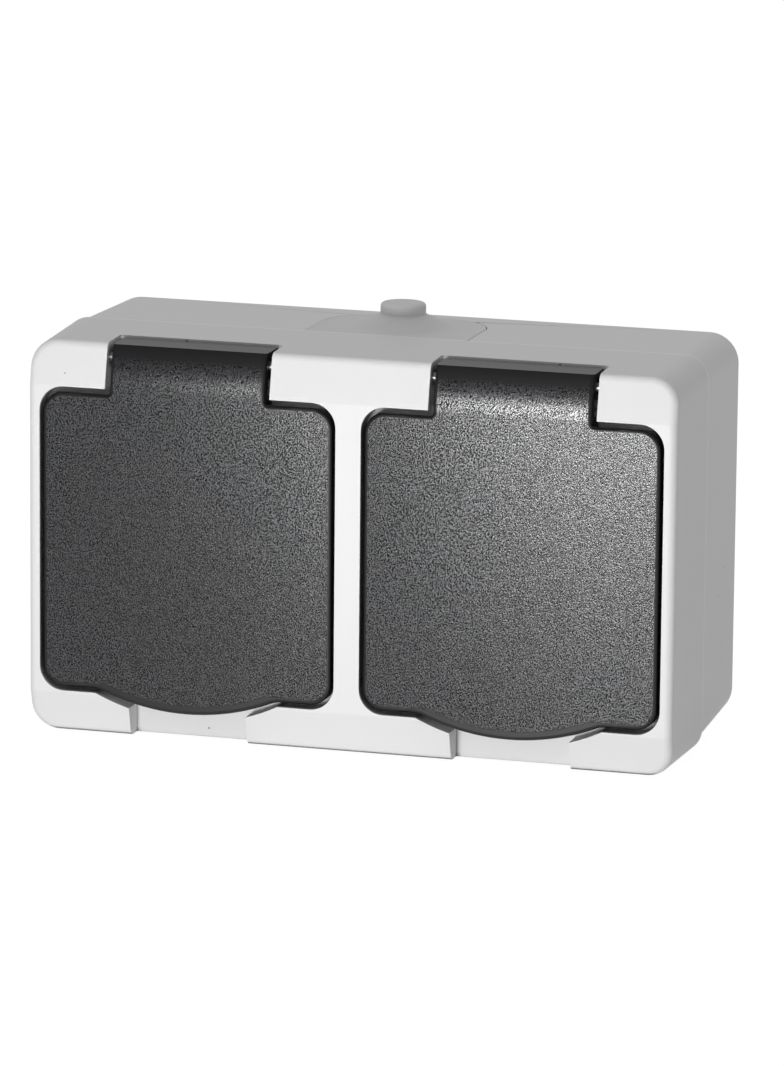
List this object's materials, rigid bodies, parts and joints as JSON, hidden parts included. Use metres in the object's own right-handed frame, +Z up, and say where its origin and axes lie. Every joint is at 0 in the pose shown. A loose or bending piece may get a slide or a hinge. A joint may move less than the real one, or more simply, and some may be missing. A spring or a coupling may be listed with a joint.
{
  "type": "weatherproof double socket",
  "caption": "Surface-mounted outdoor power outlet with two plug cups side by side, a sprung flap lid over each, and a cable grommet in the top.",
  "frame": {"origin": "middle of the face that lies on the wall", "axes": "+Y into the wall, +Z up along the wall, +X to the right as seen from the front"},
  "size_m": [0.1362, 0.055, 0.0868],
  "materials": {
    "housing": "fine satin, light grey",
    "lid": "grained dark grey with smooth edges",
    "cup": "satin dark grey",
    "seal": "soft matte",
    "grommet": "soft satin, light grey",
    "carrier": "matte off-white",
    "steel": "bright zinc",
    "contact": "stamped brass"
  },
  "bodies": {
    "housing": {"front_cover": "housing", "base_box": "housing", "housing_gasket": "seal", "cable_grommet": "grommet", "contact_carrier": "carrier", "line_bar": "contact", "neutral_bar": "contact", "earth_bar": "contact", "socket_cup_left": "cup", "socket_cup_right": "cup", "earth_clip_left": "steel", "earth_clip_right": "steel", "hinge_pin_left": "steel", "hinge_pin_right": "steel", "cup_seal_left": "seal", "cup_seal_right": "seal", "lid_spring_left": "steel", "lid_spring_right": "steel", "cup_screws": "steel", "carrier_screws": "steel", "terminal_screws": "steel"},
    "lid_left": {"lid_left": "lid", "lid_gasket_left": "seal"},
    "lid_right": {"lid_right": "lid", "lid_gasket_right": "seal"}
  },
  "joints": [
    {"name": "lid_left_hinge", "type": "hinge", "parent": "housing", "child": "lid_left", "pos_m": [-0.034, -0.0506, 0.0376], "axis": [-1, 0, 0], "range_deg": [0, 105], "stiffness_Nm_per_rad": 0.01, "springref_deg": -57.3, "deforming": ["lid_spring_left"]},
    {"name": "lid_right_hinge", "type": "hinge", "parent": "housing", "child": "lid_right", "pos_m": [0.034, -0.0506, 0.0376], "axis": [-1, 0, 0], "range_deg": [0, 105], "stiffness_Nm_per_rad": 0.01, "springref_deg": -57.3, "deforming": ["lid_spring_right"]}
  ]
}
